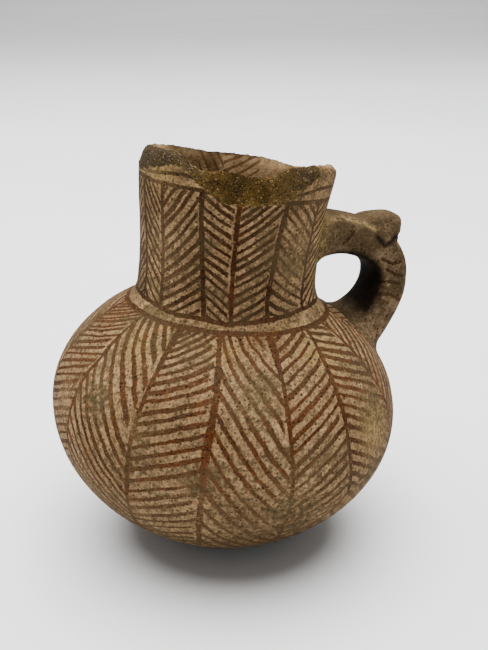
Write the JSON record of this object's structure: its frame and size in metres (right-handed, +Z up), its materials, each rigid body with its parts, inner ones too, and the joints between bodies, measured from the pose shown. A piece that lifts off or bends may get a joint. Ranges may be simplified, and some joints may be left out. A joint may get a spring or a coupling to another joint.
{
  "type": "painted pottery jug",
  "caption": "Round-bellied hand-built pottery jug with a wide neck, broken rim, loop handle with a thumb knob, and painted herringbone.",
  "frame": {"origin": "centre of the small worn flat on the round underside, at the level that the jug stands on", "axes": "+Z up, square to the flat that it stands on; +X towards the handle, which is the way the pot leans; +Y completes the right-handed set"},
  "size_m": [0.1745, 0.1644, 0.1926],
  "materials": {
    "painted_pottery": "matt buff slip with brown painted strokes, worn and dusty"
  },
  "bodies": {
    "root": {"jug": "painted_pottery"}
  },
  "joints": []
}
